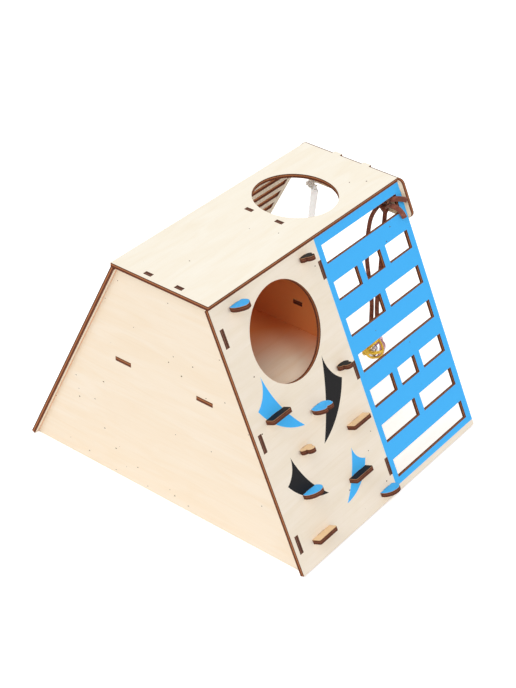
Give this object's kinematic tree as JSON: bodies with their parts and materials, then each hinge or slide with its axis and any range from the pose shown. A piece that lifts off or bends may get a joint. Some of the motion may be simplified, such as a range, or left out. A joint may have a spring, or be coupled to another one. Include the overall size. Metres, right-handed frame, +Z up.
{
  "type": "small pet climbing house",
  "caption": "Slot-together plywood house for a small pet, with climbing holds, a lattice wall, round entrances, a shelf and a hanging toy ball.",
  "frame": {"origin": "middle of the footprint of the wooden house, on the surface it stands on", "axes": "+X along the house from the closed left end to the open right end, +Y from the climbing wall to the back, +Z up"},
  "size_m": [0.2065, 0.239, 0.1697],
  "materials": {
    "birch_plywood": "sanded, laser-cut edges burnt brown",
    "blue_painted_plywood": "matt blue paint on the faces, burnt edges",
    "black_painted_plywood": "matt black paint on the faces, burnt edges",
    "suede_lace": "suede",
    "gold_plastic": "glossy",
    "pink_plastic": "glossy",
    "bell_steel": "bright",
    "white_ribbon": "satin weave"
  },
  "bodies": {
    "house": {"left_end_panel": "birch_plywood", "partition_panel": "birch_plywood", "front_panel": "birch_plywood", "back_panel": "birch_plywood", "roof_panel": "birch_plywood", "shelf": "birch_plywood", "header_plate": "birch_plywood", "hold_middle_black_bar": "black_painted_plywood", "hold_middle_black_cloud": "black_painted_plywood", "hold_middle_blue_kidney": "blue_painted_plywood", "hold_lower_plain_cloud": "birch_plywood", "hold_lower_plain_bar": "birch_plywood", "hold_lower_blue_oval": "blue_painted_plywood", "hold_lower_black_bar": "black_painted_plywood", "hold_bottom_plain_bar": "birch_plywood", "hold_bottom_blue_oval": "blue_painted_plywood", "hold_top_blue_oval": "blue_painted_plywood", "hold_top_dark_cloud": "black_painted_plywood", "back_bar_1": "birch_plywood", "back_bar_2": "birch_plywood", "back_bar_3": "birch_plywood", "back_bar_4": "birch_plywood", "back_bar_5": "birch_plywood", "lace_knot": "suede_lace", "ribbon_knot": "white_ribbon"},
    "hanging_lace": {"bell_lace": "suede_lace"},
    "toy_ball": {"ball_half_gold": "gold_plastic", "ball_half_pink": "pink_plastic", "jingle_bell": "bell_steel", "bell_pea": "bell_steel"},
    "hanging_ribbon": {"ribbon": "white_ribbon", "ribbon_end_knot": "white_ribbon"}
  },
  "joints": [
    {"name": "lace_swing", "type": "hinge", "parent": "house", "child": "hanging_lace", "pos_m": [0.0955, -0.026, 0.14233], "axis": [0, 1, 0], "range_deg": [-40, 40]},
    {"name": "ball_swing", "type": "hinge", "parent": "hanging_lace", "child": "toy_ball", "pos_m": [0.0955, -0.0275, 0.04743], "axis": [1, 0, 0], "range_deg": [-30, 30]},
    {"name": "ribbon_swing", "type": "hinge", "parent": "house", "child": "hanging_ribbon", "pos_m": [0.0955, 0.029, 0.13803], "axis": [0, 1, 0], "range_deg": [-45, 45]}
  ]
}
